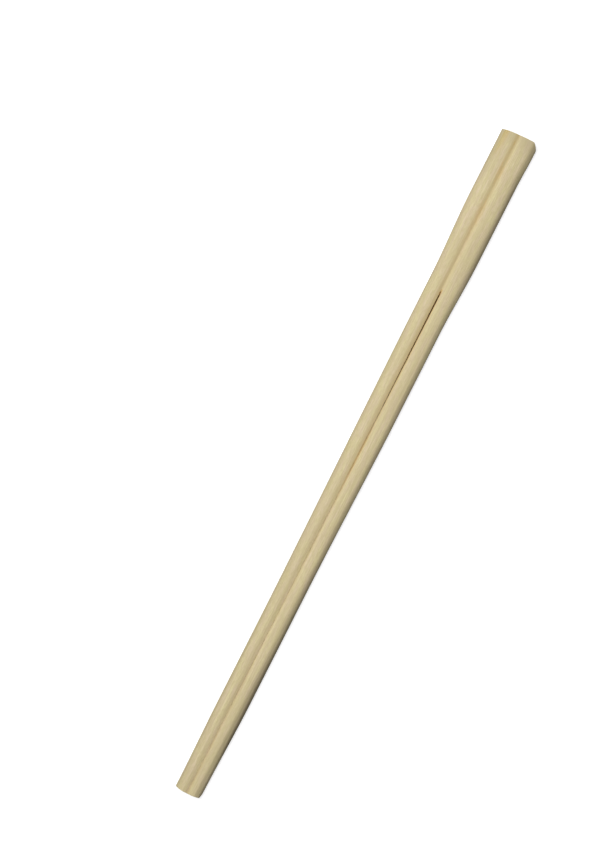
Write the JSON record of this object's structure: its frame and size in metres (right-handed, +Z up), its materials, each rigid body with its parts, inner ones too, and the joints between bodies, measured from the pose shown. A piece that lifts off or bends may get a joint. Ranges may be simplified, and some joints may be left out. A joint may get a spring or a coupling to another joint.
{
  "type": "bamboo chopsticks",
  "caption": "Joined pair of plain bamboo chopsticks, broad at the head, with a groove down the middle and a saw slit to the tips, to be snapped apart before use.",
  "frame": {"origin": "centre of the bounding box, on the underside that the pair rests on", "axes": "+X along the pair from its joined head to its tips, +Y across it from the slim stick to the broad stick, +Z up through its thickness"},
  "size_m": [0.23, 0.0126, 0.005],
  "materials": {
    "bamboo": "bare planed bamboo, satin, pale straw with fine lengthwise fibres"
  },
  "bodies": {
    "root": {"joined_pair": "bamboo"}
  },
  "joints": []
}
